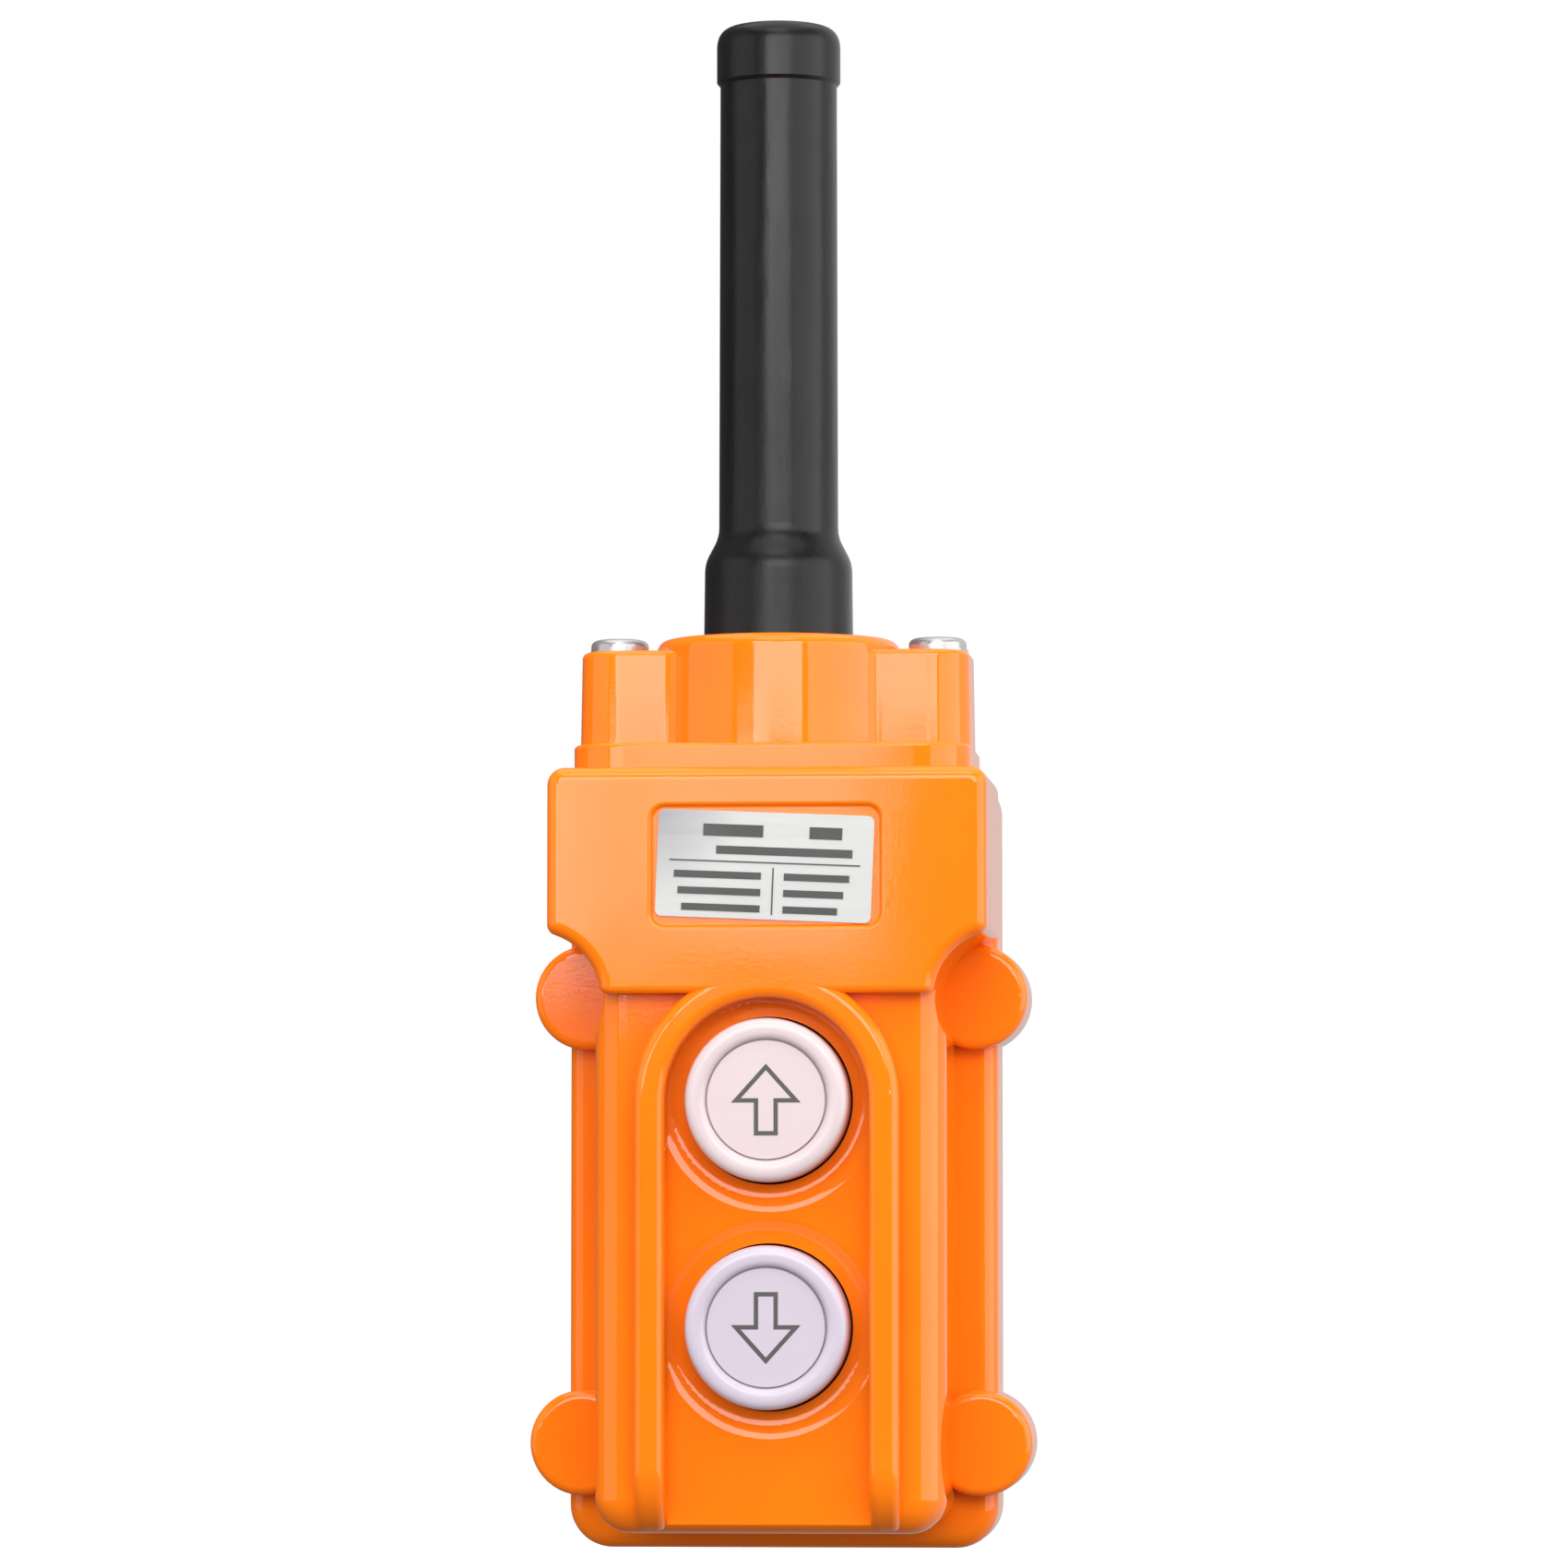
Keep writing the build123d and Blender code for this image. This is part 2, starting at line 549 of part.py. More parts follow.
def return_spring(z):
    start = BLOCK_FRONT + BODY_WALL + RINGS + 1.5
    wire_r = 0.45
    coil_r = 6.0
    turns = 5.5
    gap = 0.1
    height = SHELF_FRONT - start - 2 * (wire_r + gap)
    path = Helix(pitch=height / turns, height=height, radius=coil_r)
    wire = sweep(Plane(origin=path @ 0, z_dir=path % 0) * Circle(wire_r), path=path, is_frenet=True)
    return Pos(0, start + wire_r + gap, z) * Rot(-90, 0, 0) * wire


def contact_bridge(z):
    bar = Pos(0, z) * RectangleRounded(2 * TIP_X + 5, 5.6, 2.0)
    body = front_prism(bar, BRIDGE_BACK - 1.2 + NUDGE, BRIDGE_BACK)
    body -= rod(0, z, PIN_R, BRIDGE_BACK - 3, BRIDGE_BACK + 1)
    for side in (-1, 1):
        body += rod(side * TIP_X, z, TIP_R, BRIDGE_BACK - 0.5, BRIDGE_BACK + TIP_THICK)
    return body


def bridge_clip(z):
    return ring_y(0, z, 3.8, PIN_R, BRIDGE_BACK + NUDGE, BRIDGE_BACK + 0.7)


# ================================================================ seal clamp plate and contact block
def seal_clamp_plate():
    middle = (BODY_TOP + BODY_END) / 2
    front = INNER_FACE + SEAL_BEAD + NUDGE
    plate = Pos(0, middle) * RectangleRounded(2 * PLATE_HALF, BODY_TOP - BODY_END + 6, 3)
    body = front_prism(plate, front, front + PLATE_THICK)
    for z in BUTTONS.values():
        body -= rod(0, z, SEAL_CUP_R + 0.2, front - 1, front + PLATE_THICK + 1)
    for x, z in PLATE_SCREWS:
        body -= rod(x, z, 1.3, front - 1, front + PLATE_THICK + 1)
    return body


def plate_screw(x, z):
    seat = INNER_FACE + SEAL_BEAD + PLATE_THICK + 2 * NUDGE
    return facing_back(x, z, seat) * pan_screw(M2, 4.6, slots=False)


def contact_block_body():
    back = BASE_FRONT - NUDGE
    body = slab(-BODY_HALF, BODY_HALF, BLOCK_FRONT, back, BODY_END, BODY_TOP)
    body = fillet(body.edges().filter_by(Axis.Y), 2.0)
    middle = (BODY_TOP + BODY_END) / 2
    room = BODY_HALF - BODY_WALL
    for z in BUTTONS.values():
        body -= rod(0, z, STEM_R + RUN_GAP, BLOCK_FRONT - 1, BLOCK_FRONT + BODY_WALL + 1)
        body -= rod(0, z, 10.5, BLOCK_FRONT + BODY_WALL, SHELF_FRONT)
        body -= rod(0, z, REAR_STEM_R + 0.5, SHELF_FRONT - 1, SHELF_BACK + 1)
        body -= slab(-room, room, SHELF_BACK, back + 1, z - 15, z + 15)
        for side in (-1, 1):
            lead = side * (room + BODY_WALL / 2)
            body -= slab(lead - BODY_WALL, lead + BODY_WALL, BASE_FRONT - 1.1, back + 1, z - 3.1, z + 3.1)
    # hollow between the two chambers, to keep the walls even
    body -= slab(-4, 4, BLOCK_FRONT + BODY_WALL, back + 1, middle - 3, middle + 3)
    return body


def contact_block_base():
    middle = (BODY_TOP + BODY_END) / 2
    plate = Pos(0, middle) * RectangleRounded(2 * BASE_HALF, BODY_TOP - BODY_END + 3, 3)
    body = front_prism(plate, BASE_FRONT, BASE_BACK)
    for z in BUTTONS.values():
        body -= rod(0, z, 5.5, BASE_FRONT - 1, BASE_FRONT + 1.5)
        for side in (-1, 1):
            body -= rod(side * TERMINAL_X, z, TERMINAL_POST_R, BASE_FRONT - 1, BASE_BACK + 1)
    for x, z in POSTS:
        body -= rod(x, z, 1.7, BASE_FRONT - 1, BASE_BACK + 1)
    return body


def fixed_contact(side, z):
    """Strap under the moving bridge with a threaded post through the base."""
    inner = TIP_X - 3.5
    outer = TERMINAL_X + 3.0
    strap = Pos(side * (inner + outer) / 2, z) * RectangleRounded(outer - inner, 6.0, 1.5)
    body = front_prism(strap, BASE_FRONT - 1.0, BASE_FRONT - NUDGE)
    body += rod(side * TERMINAL_X, z, TERMINAL_POST_R - NUDGE, BASE_FRONT - 0.5, BASE_BACK)
    return body - rod(side * TERMINAL_X, z, 1.5, BASE_FRONT - 2, BASE_BACK + 1)


def terminal_clamp(side, z):
    plate = Pos(side * TERMINAL_X, z) * RectangleRounded(7.0, 7.0, 0.8)
    body = front_prism(plate, BASE_BACK + NUDGE, BASE_BACK + 0.9)
    return body - rod(side * TERMINAL_X, z, 1.7, BASE_BACK - 1, BASE_BACK + 2)


# ================================================================ cable clamp
def cable_clamp_base():
    """Lower half of the cord grip, standing on two posts of the front shell."""
    foot = CLAMP_FOOT + NUDGE
    body = slab(-CLAMP_HALF, CLAMP_HALF, foot, CLAMP_SPLIT, CLAMP_Z - CLAMP_LENGTH / 2, CLAMP_Z + CLAMP_LENGTH / 2)
    body = fillet(body.edges().filter_by(Axis.Y), 2.0)
    body -= column(0, 0, CABLE_R, CLAMP_Z - 10, CLAMP_Z + 10)
    for side in (-1, 1):
        body -= rod(side * CLAMP_SCREW_X, CLAMP_Z, 1.7, foot - 1, CLAMP_SPLIT + 1)
    return body


def cable_clamp_strap():
    low = CLAMP_SPLIT + NUDGE
    outer_r = CABLE_R + STRAP_THICK
    band = slab(-CLAMP_HALF, CLAMP_HALF, low, low + STRAP_THICK, CLAMP_Z - 4.5, CLAMP_Z + 4.5)
    hoop = column(0, 0, outer_r, CLAMP_Z - 4.5, CLAMP_Z + 4.5)
    hoop &= slab(-outer_r, outer_r, low, outer_r, CLAMP_Z - 6, CLAMP_Z + 6)
    body = band + hoop - column(0, 0, CABLE_R, CLAMP_Z - 10, CLAMP_Z + 10)
    for side in (-1, 1):
        body -= rod(side * CLAMP_SCREW_X, CLAMP_Z, 1.7, low - 1, low + STRAP_THICK + 1)
    return body


# ================================================================ label
def rating_label():
    back = GUARD_FACE + RECESS_DEPTH - NUDGE
    plate = Pos(*LABEL_CENTRE) * Rot(0, 0, LABEL_TILT) * RectangleRounded(*LABEL_SIZE, 1.2)
    return front_prism(plate, back - LABEL_THICK, back)


def label_marks():
    """Generic printed bars: no lettering."""
    header = [(-6.0, 6.3, 11.0, 2.2), (11.0, 6.3, 6.0, 2.2), (3.5, 2.7, 25.0, 1.5)]
    rules = [(0.0, 0.6, 35.0, 0.25), (1.6, -4.6, 0.25, 8.6)]
    rows = []
    for row, v in enumerate((-1.9, -4.9, -7.9)):
        rows.append((-8.6 + 0.4 * row, v, 16.0 - 0.8 * row, 1.3))
        rows.append((9.6 - 0.5 * row, v, 12.0 - 1.0 * row, 1.3))
    front = GUARD_FACE + RECESS_DEPTH - NUDGE - LABEL_THICK
    marks = []
    for u, v, width, height in header + rules + rows:
        bar = Pos(*LABEL_CENTRE) * Rot(0, 0, LABEL_TILT) * Pos(u, v) * Rectangle(width, height)
        marks.append(front_prism(bar, front - 0.12, front - NUDGE))
    return marks


# ================================================================ write the nodes
def write_node(name, solids):
    solids = solids if isinstance(solids, list) else [solids]
    whole = [s for piece in solids for s in piece.solids()]
    export_step(Compound(whole), os.path.join("parts", name + ".step"))


os.makedirs("parts", exist_ok=True)

washer_seat = BOSS_TOP + NUDGE
head_seat = washer_seat + WASHER_THICK
cover_seat = COVER_EAR_BACK - EAR_SEAT_DEPTH
cover_head = cover_seat + THIN_WASHER
clamp_head = CLAMP_SPLIT + STRAP_THICK + 2 * NUDGE
sides = (-1, 1)

write_node("front_shell", front_shell())
write_node("rear_cover", rear_cover())
write_node("shell_gasket", shell_gasket())
write_node("head_cap", head_cap())
write_node("cap_gasket", cap_gasket())
write_node("cable_boot", cable_boot())
write_node("boot_retaining_ring", boot_retaining_ring())

write_node("cap_screws", [Pos(s * CAP_SCREW_X, 0, head_seat + NUDGE) * Rot(0, 0, 20 * s) * pan_screw(M5, 34)
                          for s in sides])
write_node("cap_screw_washers", [ring_z(s * CAP_SCREW_X, 0, 5.7, 2.6, washer_seat, head_seat) for s in sides])
write_node("cap_screw_inserts", [ring_z(s * CAP_SCREW_X, 0, CAP_INSERT[0], M5[0] + THREAD_GAP,
                                        HOUSING_TOP - CAP_INSERT[1] + NUDGE, HOUSING_TOP - NUDGE) for s in sides])

write_node("cover_screws", [facing_back(x, z, cover_head) * pan_screw(M4, 12.5) for x, z in EARS])
write_node("cover_screw_washers", [ring_y(x, z, 4.2, 2.1, cover_seat + NUDGE, cover_head - NUDGE)
                                   for x, z in EARS])
write_node("cover_screw_inserts", [ring_y(x, z, EAR_INSERT[0], M4[0] + THREAD_GAP,
                                          PARTING - EAR_INSERT[1] + NUDGE, PARTING - NUDGE) for x, z in EARS])

write_node("rating_label", rating_label())
write_node("label_marks", label_marks())

for name, z in BUTTONS.items():
    write_node(name + "_button", button(z))
    way = 1 if name == "up" else -1
    write_node(name + "_legend_disc", legend_disc(z, way))
    write_node(name + "_arrow", arrow_inlay(z, way))
    write_node(name + "_button_seal", button_seal(z))
    write_node(name + "_plunger", plunger(z))
    write_node(name + "_return_spring", return_spring(z))
    write_node(name + "_contact_bridge", contact_bridge(z))
    write_node(name + "_bridge_clip", bridge_clip(z))

write_node("seal_clamp_plate", seal_clamp_plate())
write_node("seal_plate_screws", [plate_screw(x, z) for x, z in PLATE_SCREWS])
write_node("contact_block_body", contact_block_body())
write_node("contact_block_base", contact_block_base())
write_node("contact_block_screws", [facing_back(x, z, BASE_BACK + NUDGE) * pan_screw(M3, 9) for x, z in POSTS])
write_node("contact_block_inserts", [ring_y(x, z, POST_INSERT[0], M3[0] + THREAD_GAP,
                                            BASE_FRONT - POST_INSERT[1] + NUDGE, BASE_FRONT - 2 * NUDGE)
                                     for x, z in POSTS])
write_node("fixed_contacts", [fixed_contact(s, z) for z in BUTTONS.values() for s in sides])
write_node("terminal_clamps", [terminal_clamp(s, z) for z in BUTTONS.values() for s in sides])
write_node("terminal_screws", [facing_back(s * TERMINAL_X, z, BASE_BACK + 0.92) * pan_screw((1.47, 2.75, 1.8), 4.2)
                               for z in BUTTONS.values() for s in sides])

write_node("cable_clamp_base", cable_clamp_base())
write_node("cable_clamp_strap", cable_clamp_strap())
write_node("cable_clamp_screws", [facing_back(s * CLAMP_SCREW_X, CLAMP_Z, clamp_head) * pan_screw(M3, 16)
                                  for s in sides])
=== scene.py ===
import json
from math import cos, radians, sin

import bpy
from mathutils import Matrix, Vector


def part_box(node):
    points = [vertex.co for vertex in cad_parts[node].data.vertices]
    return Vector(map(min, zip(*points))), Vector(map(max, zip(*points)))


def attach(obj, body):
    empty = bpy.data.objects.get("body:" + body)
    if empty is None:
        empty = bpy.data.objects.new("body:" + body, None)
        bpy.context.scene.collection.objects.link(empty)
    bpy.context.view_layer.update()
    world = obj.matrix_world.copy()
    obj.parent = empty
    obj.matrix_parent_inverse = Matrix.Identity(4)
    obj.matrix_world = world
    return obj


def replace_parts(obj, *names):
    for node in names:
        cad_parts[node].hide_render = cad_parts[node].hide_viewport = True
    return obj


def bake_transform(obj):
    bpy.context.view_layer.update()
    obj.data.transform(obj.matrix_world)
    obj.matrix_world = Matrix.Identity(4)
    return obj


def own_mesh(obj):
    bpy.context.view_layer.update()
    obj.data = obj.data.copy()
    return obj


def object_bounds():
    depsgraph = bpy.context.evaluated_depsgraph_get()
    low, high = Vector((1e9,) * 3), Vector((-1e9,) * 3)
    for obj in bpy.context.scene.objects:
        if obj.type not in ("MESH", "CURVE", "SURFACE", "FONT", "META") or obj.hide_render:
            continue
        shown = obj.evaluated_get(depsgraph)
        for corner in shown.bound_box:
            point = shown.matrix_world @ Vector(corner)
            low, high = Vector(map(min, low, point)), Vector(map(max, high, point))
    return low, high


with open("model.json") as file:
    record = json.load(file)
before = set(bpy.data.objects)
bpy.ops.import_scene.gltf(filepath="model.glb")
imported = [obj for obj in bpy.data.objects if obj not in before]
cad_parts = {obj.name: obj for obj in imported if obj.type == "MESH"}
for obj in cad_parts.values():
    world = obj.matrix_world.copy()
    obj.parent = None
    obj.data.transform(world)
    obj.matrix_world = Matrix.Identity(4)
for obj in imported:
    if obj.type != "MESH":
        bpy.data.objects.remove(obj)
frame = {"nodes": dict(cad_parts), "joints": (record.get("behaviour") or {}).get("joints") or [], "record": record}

cad_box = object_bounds()
low, high = cad_box
middle = (low + high) / 2
nodes = frame["nodes"]
slot_of = {part["node"]: part["material_slot"] for part in frame["record"]["subparts"]}


# ================================================================ material tools
def new_material(name):
    material = bpy.data.materials.new(name)
    material.use_nodes = True
    tree = material.node_tree
    shader = tree.nodes["Principled BSDF"]
    return material, tree, shader


def noise(tree, scale, detail=4.0, roughness=0.5, stretch=(1, 1, 1)):
    """Noise in the object's own space, so it stays on the surface in every view."""
    coords = tree.nodes.new("ShaderNodeTexCoord")
    mapping = tree.nodes.new("ShaderNodeMapping")
    mapping.inputs["Scale"].default_value = stretch
    texture = tree.nodes.new("ShaderNodeTexNoise")
    texture.inputs["Scale"].default_value = scale
    texture.inputs["Detail"].default_value = detail
    texture.inputs["Roughness"].default_value = roughness
    tree.links.new(coords.outputs["Object"], mapping.inputs["Vector"])
    tree.links.new(mapping.outputs["Vector"], texture.inputs["Vector"])
    return texture.outputs["Fac"]


def ramp(tree, value, stops):
    """Colour ramp through (position, colour) stops."""
    node = tree.nodes.new("ShaderNodeValToRGB")
    elements = node.color_ramp.elements
    while len(elements) < len(stops):
        elements.new(0.5)
    for element, (position, colour) in zip(elements, stops):
        element.position = position
        element.color = (*colour, 1.0)
    tree.links.new(value, node.inputs["Fac"])
    return node.outputs["Color"]


def map_range(tree, value, from_range, to_range):
    node = tree.nodes.new("ShaderNodeMapRange")
    node.inputs["From Min"].default_value, node.inputs["From Max"].default_value = from_range
    node.inputs["To Min"].default_value, node.inputs["To Max"].default_value = to_range
    tree.links.new(value, node.inputs["Value"])
    return node.outputs["Result"]


def spread(tree, value, low_end, high_end):
    """Map noise from its usual 0.3 to 0.7 range to low_end and high_end."""
    return map_range(tree, value, (0.3, 0.7), (low_end, high_end))


def bump(tree, height, strength, distance, under=None):
    """Relief of this distance in metres, on top of another bump if there is one under it."""
    node = tree.nodes.new("ShaderNodeBump")
    node.inputs["Strength"].default_value = strength
    node.inputs["Distance"].default_value = distance
    tree.links.new(height, node.inputs["Height"])
    if under is not None:
        tree.links.new(under, node.inputs["Normal"])
    return node.outputs["Normal"]


def mix_colour(tree, factor, first, second):
    """Mix of two colours, each a tuple or a socket."""
    node = tree.nodes.new("ShaderNodeMix")
    node.data_type = "RGBA"
    tree.links.new(factor, node.inputs["Factor"])
    for socket, value in ((node.inputs[6], first), (node.inputs[7], second)):
        if isinstance(value, tuple):
            socket.default_value = (*value, 1.0)
        else:
            tree.links.new(value, socket)
    return node.outputs[2]


# ================================================================ materials
def moulded_plastic(name, dark, light, rough, scatter=0.0):
    """Injection-moulded plastic: faint mottling, soft flow waves and a fine skin."""
    material, tree, shader = new_material(name)
    mottle = noise(tree, scale=22.0, detail=5.0, roughness=0.55)
    colour = ramp(tree, mottle, ((0.25, dark), (0.75, light)))
    tree.links.new(colour, shader.inputs["Base Color"])
    smudge = noise(tree, scale=60.0, detail=6.0, roughness=0.65)
    tree.links.new(spread(tree, smudge, rough * 0.8, rough * 1.25), shader.inputs["Roughness"])
    flow = noise(tree, scale=26.0, detail=2.0, roughness=0.4)
    grain = noise(tree, scale=1500.0, detail=3.0, roughness=0.6)
    wave = bump(tree, flow, strength=0.35, distance=0.0003)
    skin = bump(tree, grain, strength=0.25, distance=0.00002, under=wave)
    tree.links.new(skin, shader.inputs["Normal"])
    shader.inputs["IOR"].default_value = 1.49
    if scatter:
        shader.inputs["Subsurface Weight"].default_value = scatter
        shader.inputs["Subsurface Radius"].default_value = (0.004, 0.0015, 0.0005)
        shader.inputs["Subsurface Scale"].default_value = 1.0
    return material


def rubber(name, dark, light, rough):
    """Moulded rubber: satin black with faint streaks along its length and grey bloom."""
    bloom = (0.04, 0.04, 0.04)
    material, tree, shader = new_material(name)
    streak = noise(tree, scale=90.0, detail=5.0, roughness=0.6, stretch=(1.0, 1.0, 0.12))
    colour = ramp(tree, streak, ((0.3, dark), (0.7, light)))
    dusty = spread(tree, noise(tree, scale=34.0, detail=6.0, roughness=0.7), 0.0, 0.14)
    tree.links.new(mix_colour(tree, dusty, colour, bloom), shader.inputs["Base Color"])
    tree.links.new(spread(tree, streak, rough * 0.7, rough * 1.35), shader.inputs["Roughness"])
    uneven = noise(tree, scale=150.0, detail=4.0, roughness=0.55, stretch=(1.0, 1.0, 0.3))
    grain = noise(tree, scale=1800.0, detail=4.0, roughness=0.6)
    ripple = bump(tree, uneven, strength=0.5, distance=0.00035)
    skin = bump(tree, grain, strength=0.3, distance=0.00003, under=ripple)
    tree.links.new(skin, shader.inputs["Normal"])
    shader.inputs["Specular IOR Level"].default_value = 0.30
    return material


def metal(name, dark, light, rough, metallic=1.0):
    """Plated or bare metal: cloudy colour, uneven roughness and fine scratches."""
    material, tree, shader = new_material(name)
    cloud = noise(tree, scale=180.0, detail=5.0, roughness=0.6)
    tree.links.new(ramp(tree, cloud, ((0.3, dark), (0.7, light))), shader.inputs["Base Color"])
    scratch = noise(tree, scale=900.0, detail=6.0, roughness=0.7)
    tree.links.new(spread(tree, scratch, rough * 0.7, rough * 1.4), shader.inputs["Roughness"])
    tree.links.new(bump(tree, scratch, strength=0.25, distance=0.00002), shader.inputs["Normal"])
    shader.inputs["Metallic"].default_value = metallic
    return material


def foil_with_painted_shade(name, grey, silver, rough, shade_reach=0.016):
    """Silver label: brushed along its length, with painted shade greying it towards its upper left corner."""
    material, tree, shader = new_material(name)
    label_low, label_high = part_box("rating_label")
    coords = tree.nodes.new("ShaderNodeTexCoord")
    corner = tree.nodes.new("ShaderNodeVectorMath")
    corner.operation = "DISTANCE"
    corner.inputs[1].default_value = (label_low.x, label_low.y, label_high.z)
    tree.links.new(coords.outputs["Object"], corner.inputs[0])
    # painted shade: the foil is grey at its upper left corner and turns back to silver within this reach
    shade_falloff = map_range(tree, corner.outputs["Value"], (0.0, shade_reach), (0.0, 1.0))
    tree.links.new(mix_colour(tree, shade_falloff, grey, silver), shader.inputs["Base Color"])
    brushed = noise(tree, scale=1100.0, detail=5.0, roughness=0.7, stretch=(0.06, 1.0, 1.0))
    tree.links.new(spread(tree, brushed, rough * 0.8, rough * 1.3), shader.inputs["Roughness"])
    tree.links.new(bump(tree, brushed, strength=0.2, distance=0.00001), shader.inputs["Normal"])
    shader.inputs["Metallic"].default_value = 0.15
    return material


by_slot = {
    "orange_plastic": moulded_plastic(
        "orange_plastic", (0.97, 0.180, 0.003), (1.0, 0.213, 0.0045), rough=0.055, scatter=0.03),
    "black_rubber": rubber("black_rubber", (0.003, 0.003, 0.003), (0.007, 0.007, 0.007), rough=0.29),
    "seal_rubber": rubber("seal_rubber", (0.010, 0.010, 0.010), (0.020, 0.020, 0.020), rough=0.6),
    "black_plastic": moulded_plastic(
        "black_plastic", (0.014, 0.013, 0.013), (0.028, 0.027, 0.026), rough=0.45),
    "button_plastic": moulded_plastic(
        "button_plastic", (0.615, 0.505, 0.515), (0.65, 0.535, 0.545), rough=0.22),
    "white_plastic": moulded_plastic("white_plastic", (0.50, 0.50, 0.47), (0.60, 0.60, 0.56), rough=0.4),
    "dark_print": moulded_plastic("dark_print", (0.055, 0.050, 0.050), (0.095, 0.085, 0.085), rough=0.5),
    "plated_steel": metal(
        "plated_steel", (0.44, 0.43, 0.44), (0.56, 0.55, 0.56), rough=0.26, metallic=0.7),
    "brass": metal("brass", (0.45, 0.30, 0.11), (0.60, 0.42, 0.18), rough=0.28),
    "label_foil": foil_with_painted_shade("label_foil", (0.30, 0.285, 0.305), (0.52, 0.52, 0.51), rough=0.42),
}
# painted shade: a darker, cooler copy of the button white, for the lower button and its disc
shaded_button_white = moulded_plastic(
    "button_plastic_shaded_cool", (0.53, 0.465, 0.545), (0.56, 0.49, 0.575), rough=0.22)


def paint(node, material):
    for material_slot in nodes[node].material_slots:
        material_slot.material = material


for node, slot in slot_of.items():
    paint(node, by_slot[slot])
# the lower button looks a cooler white than the upper one; its darker, cooler copy of the button white is painted
# shade
for node in ("down_button", "down_legend_disc"):
    paint(node, shaded_button_white)


# ================================================================ soft pieces that stand in for the springs and seals
def soft_copy(node):
    """A piece of a soft CAD node's shape, which stands for it."""
    piece = bpy.data.objects.new(node + "_soft", nodes[node].data.copy())
    bpy.context.collection.objects.link(piece)
    piece.data.materials.clear()
    piece.data.materials.append(by_slot[slot_of[node]])
    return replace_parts(piece, node)


def return_spring(side):
    """The spring's soft copy, carried by the housing on a mesh of its own."""
    node = side + "_return_spring"
    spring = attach(soft_copy(node), "housing")
    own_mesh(spring)


def button_seal(side):
    """The seal's soft copy, with its placement baked into its mesh."""
    node = side + "_button_seal"
    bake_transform(soft_copy(node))


for joint in frame["joints"]:
    side = joint["name"].removesuffix("_press")
    return_spring(side)
    button_seal(side)


# ================================================================ floor and light
def direction(azimuth, elevation):
    """Unit vector from the object towards a place seen at these degrees; azimuth 0 is its front."""
    a = radians(azimuth)
    e = radians(elevation)
    return Vector((sin(a) * cos(e), -cos(a) * cos(e), sin(e)))


def aim(thing, centre, outward, distance):
    """Place a light or camera out from centre, looking back at it."""
    thing.location = centre + outward * distance
    thing.rotation_euler = (-outward).to_track_quat("-Z", "Y").to_euler()


def area_light(name, azimuth, elevation, distance, size, power):
    data = bpy.data.lights.new(name, "AREA")
    data.shape = "RECTANGLE"
    data.size, data.size_y = size
    data.energy = power
    light = bpy.data.objects.new(name, data)
    bpy.context.collection.objects.link(light)
    aim(light, middle, direction(azimuth, elevation), distance)


def pale_floor(reach=0.45, gap=0.012):
    """Square of pale paper a little below the hanging station; diffuse and mirror rays pass it by."""
    level = low.z - gap
    corners = [(x * reach, y * reach, level) for x, y in ((-1, -1), (1, -1), (1, 1), (-1, 1))]
    mesh = bpy.data.meshes.new("floor")
    mesh.from_pydata(corners, [], [(0, 1, 2, 3)])
    floor = bpy.data.objects.new("floor", mesh)
    bpy.context.collection.objects.link(floor)
    material, tree, shader = new_material("floor_paper")
    paper = ramp(tree, noise(tree, scale=3.0), ((0.3, (0.90, 0.90, 0.90)), (0.7, (0.93, 0.93, 0.93))))
    tree.links.new(paper, shader.inputs["Base Color"])
    shader.inputs["Roughness"].default_value = 0.9
    mesh.materials.append(material)
    floor.visible_diffuse = False
    floor.visible_glossy = False


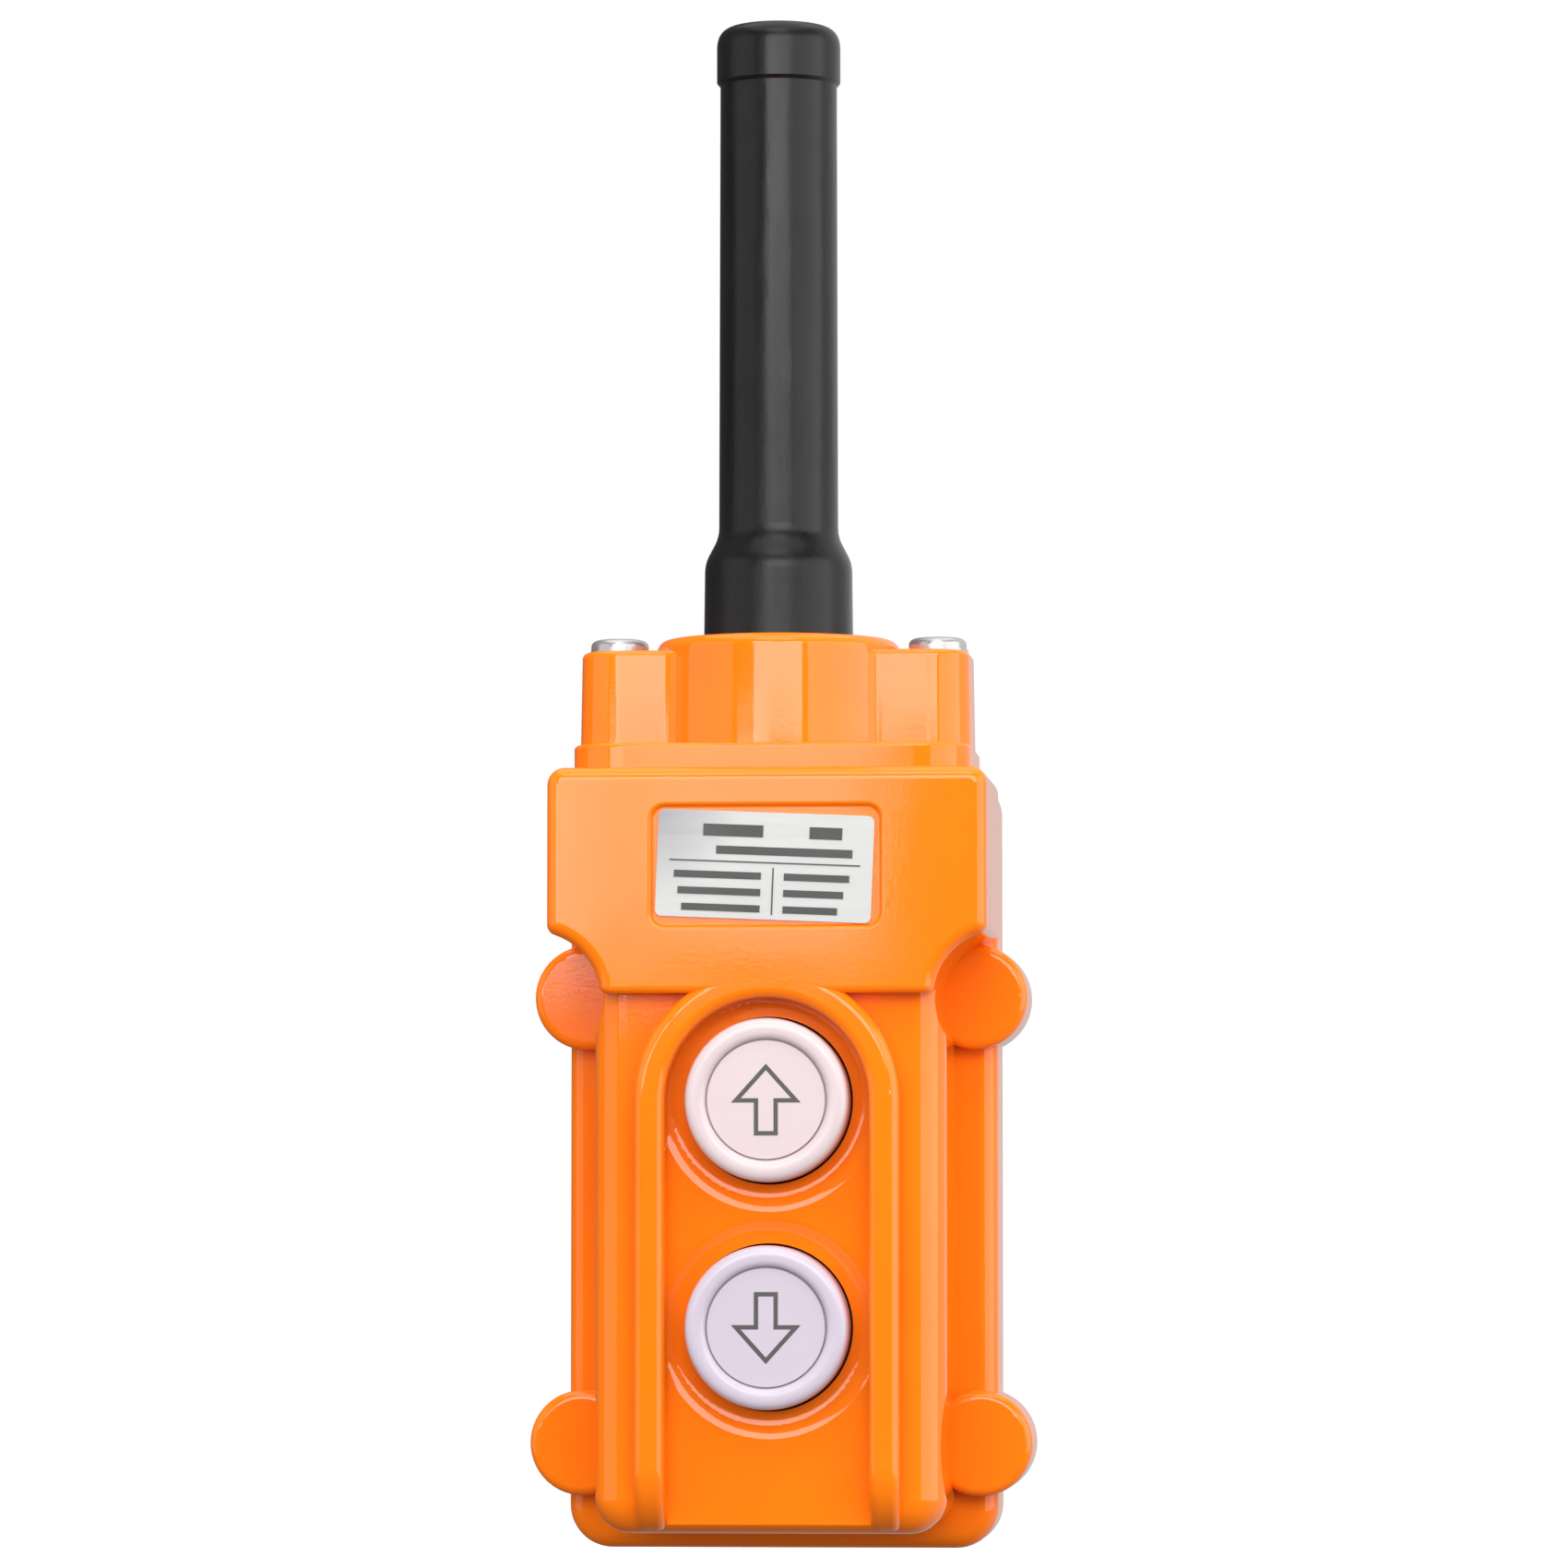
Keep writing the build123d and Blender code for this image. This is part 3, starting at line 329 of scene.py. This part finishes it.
def studio_world(backdrop, overhead, horizon, dark_side, bright_side):
    """White behind the object, and light on it that is brighter from above.

    Mirror rays see a dark studio instead, which turns pale towards the right rear.
    """
    right_rear = (0.80, 0.60, 0.0)
    world = bpy.data.worlds.new("studio")
    bpy.context.scene.world = world
    world.use_nodes = True
    tree = world.node_tree
    coords = tree.nodes.new("ShaderNodeTexCoord")
    split = tree.nodes.new("ShaderNodeSeparateXYZ")
    tree.links.new(coords.outputs["Generated"], split.inputs["Vector"])
    lit = map_range(tree, split.outputs["Z"], (0.0, 1.0), (horizon, overhead))
    toward = tree.nodes.new("ShaderNodeVectorMath")
    toward.operation = "DOT_PRODUCT"
    toward.inputs[1].default_value = right_rear
    tree.links.new(coords.outputs["Generated"], toward.inputs[0])
    mirrored = map_range(tree, toward.outputs["Value"], (0.25, 0.85), (dark_side, bright_side))
    path = tree.nodes.new("ShaderNodeLightPath")
    in_mirrors = tree.nodes.new("ShaderNodeMix")
    tree.links.new(path.outputs["Is Glossy Ray"], in_mirrors.inputs["Factor"])
    tree.links.new(lit, in_mirrors.inputs["A"])
    tree.links.new(mirrored, in_mirrors.inputs["B"])
    in_view = tree.nodes.new("ShaderNodeMix")
    tree.links.new(path.outputs["Is Camera Ray"], in_view.inputs["Factor"])
    tree.links.new(in_mirrors.outputs["Result"], in_view.inputs["A"])
    in_view.inputs["B"].default_value = backdrop
    background = tree.nodes["Background"]
    background.inputs["Color"].default_value = (1.0, 1.0, 1.0, 1.0)
    tree.links.new(in_view.outputs["Result"], background.inputs["Strength"])


pale_floor()
studio_world(backdrop=1.0, overhead=1.35, horizon=0.3, dark_side=0.10, bright_side=0.9)
area_light("front_bank", azimuth=4, elevation=17.5, distance=1.5, size=(1.25, 0.6), power=12.6)
area_light("left_box", azimuth=-20.5, elevation=3.35, distance=1.5, size=(0.72, 0.15), power=1.5)
area_light("left_box_inner", azimuth=-4.9, elevation=3.5, distance=1.5, size=(0.095, 0.142), power=0.155)
area_light("left_bank", azimuth=-64, elevation=8, distance=1.3, size=(1.2, 1.1), power=3.4)
area_light("top_front_box", azimuth=0, elevation=52, distance=1.4, size=(0.7, 0.3), power=2.6)
area_light("right_bank", azimuth=64, elevation=8, distance=1.3, size=(1.6, 1.1), power=11)
area_light("overhead", azimuth=0, elevation=90, distance=1.2, size=(1.5, 1.5), power=9)

bpy.context.scene.view_settings.view_transform = "Standard"


# ================================================================ camera
camera_data = bpy.data.cameras.new("camera")
camera_data.sensor_width = 36.0
camera_data.lens = 169.4
camera_data.clip_end = 50.0
camera = bpy.data.objects.new("camera", camera_data)
bpy.context.collection.objects.link(camera)
bpy.context.scene.camera = camera
aim(camera, Vector((0.0010, 0.0, -0.1425)), direction(azimuth=4.7, elevation=-3.6), distance=1.378)
